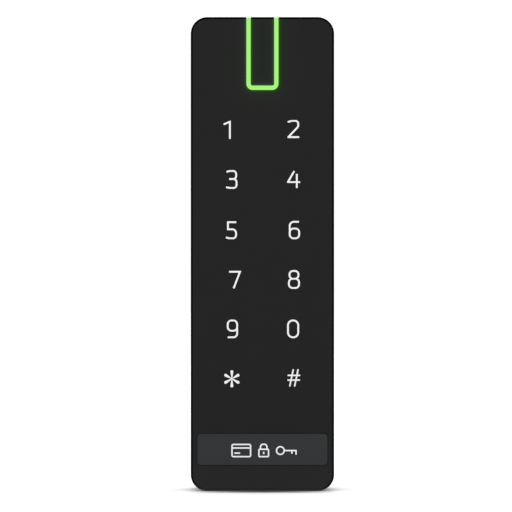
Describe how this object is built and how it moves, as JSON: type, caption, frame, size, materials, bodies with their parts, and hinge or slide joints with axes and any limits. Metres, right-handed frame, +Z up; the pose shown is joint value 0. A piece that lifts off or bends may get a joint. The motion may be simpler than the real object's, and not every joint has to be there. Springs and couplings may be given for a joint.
{
  "type": "keypad access reader",
  "caption": "Tall narrow wall-mounted access reader: touch keypad face with raised white legends, green U-shaped status light and a name plate, on a hook-on wall bracket.",
  "frame": {"origin": "centre of the wall bracket's flat back face, on the wall plane y = 0", "axes": "+X to the reader's right seen from the front, the face looks along -Y, +Y into the wall, +Z up"},
  "size_m": [0.0448, 0.0197, 0.1482],
  "materials": {
    "housing_black": "satin black moulding",
    "face_plastic": "very dark grey, fine satin texture",
    "green_light": "translucent green light guide, lit",
    "plate_grey": "dark blue-grey satin plate with bevelled edge",
    "legend_white": "white, slightly raised",
    "adhesive": "black foam adhesive sheet",
    "clear_guide": "frosted clear acrylic",
    "circuit_board": "green solder mask",
    "chip_black": "moulded epoxy",
    "module_can": "tinned shielding can",
    "ferrite": "dark grey ferrite",
    "capacitor_can": "plain aluminium can",
    "led_body": "cream LED package",
    "copper_coil": "enamelled copper winding",
    "flex_amber": "amber flexible circuit",
    "connector_white": "white moulded header",
    "cover_black": "fine matt texture",
    "seal_rubber": "matt black rubber",
    "smoked_window": "smoked, lets infrared through",
    "bracket_black": "glass-filled nylon, matt",
    "steel": "plain steel",
    "brass": "plain brass"
  },
  "bodies": {
    "bracket": {"wall_bracket": "bracket_black", "threaded_insert": "brass"},
    "reader": {"front_housing": "housing_black", "front_panel": "face_plastic", "panel_adhesive": "adhesive", "status_light_guide": "green_light", "name_plate": "plate_grey", "legend_1": "legend_white", "legend_2": "legend_white", "legend_3": "legend_white", "legend_4": "legend_white", "legend_5": "legend_white", "legend_6": "legend_white", "legend_7": "legend_white", "legend_8": "legend_white", "legend_9": "legend_white", "legend_star": "legend_white", "legend_0": "legend_white", "legend_hash": "legend_white", "touch_sensor_board": "circuit_board", "key_light_guide": "clear_guide", "key_light_led_1": "led_body", "key_light_led_2": "led_body", "key_light_led_3": "led_body", "key_light_led_4": "led_body", "status_led_left": "led_body", "status_led_right": "led_body", "status_led_bottom": "led_body", "keypad_flex_cable": "flex_amber", "antenna_coil": "copper_coil", "main_board": "circuit_board", "processor_chip": "chip_black", "radio_module": "module_can", "power_inductor": "ferrite", "power_capacitor": "capacitor_can", "buzzer": "chip_black", "cable_header": "connector_white", "tamper_sensor": "chip_black", "board_screw_1": "steel", "board_screw_2": "steel", "rear_cover": "cover_black", "rear_cover_seal": "seal_rubber", "rear_cover_screw_1": "steel", "rear_cover_screw_2": "steel", "rear_cover_screw_3": "steel", "rear_cover_screw_4": "steel", "cable_grommet": "seal_rubber", "tamper_window": "smoked_window"},
    "washer": {"screw_washer": "steel"},
    "screw": {"locking_screw": "steel"}
  },
  "joints": [
    {"name": "reader_tilt", "type": "hinge", "parent": "bracket", "child": "reader", "pos_m": [0, -0.003, 0.0711], "axis": [-1, 0, 0], "range_deg": [0, 20]},
    {"name": "screw_advance", "type": "slide", "parent": "bracket", "child": "washer", "axis": [0, 0, -1], "range_m": [0, 0.002]},
    {"name": "screw_turn", "type": "hinge", "parent": "washer", "child": "screw", "pos_m": [0, -0.0055, -0.0715], "axis": [0, 0, -1], "range_deg": [0, 1440]}
  ],
  "couplings": [
    {"joint": "screw_turn", "follows": "screw_advance", "rad_per_m": 12566}
  ]
}
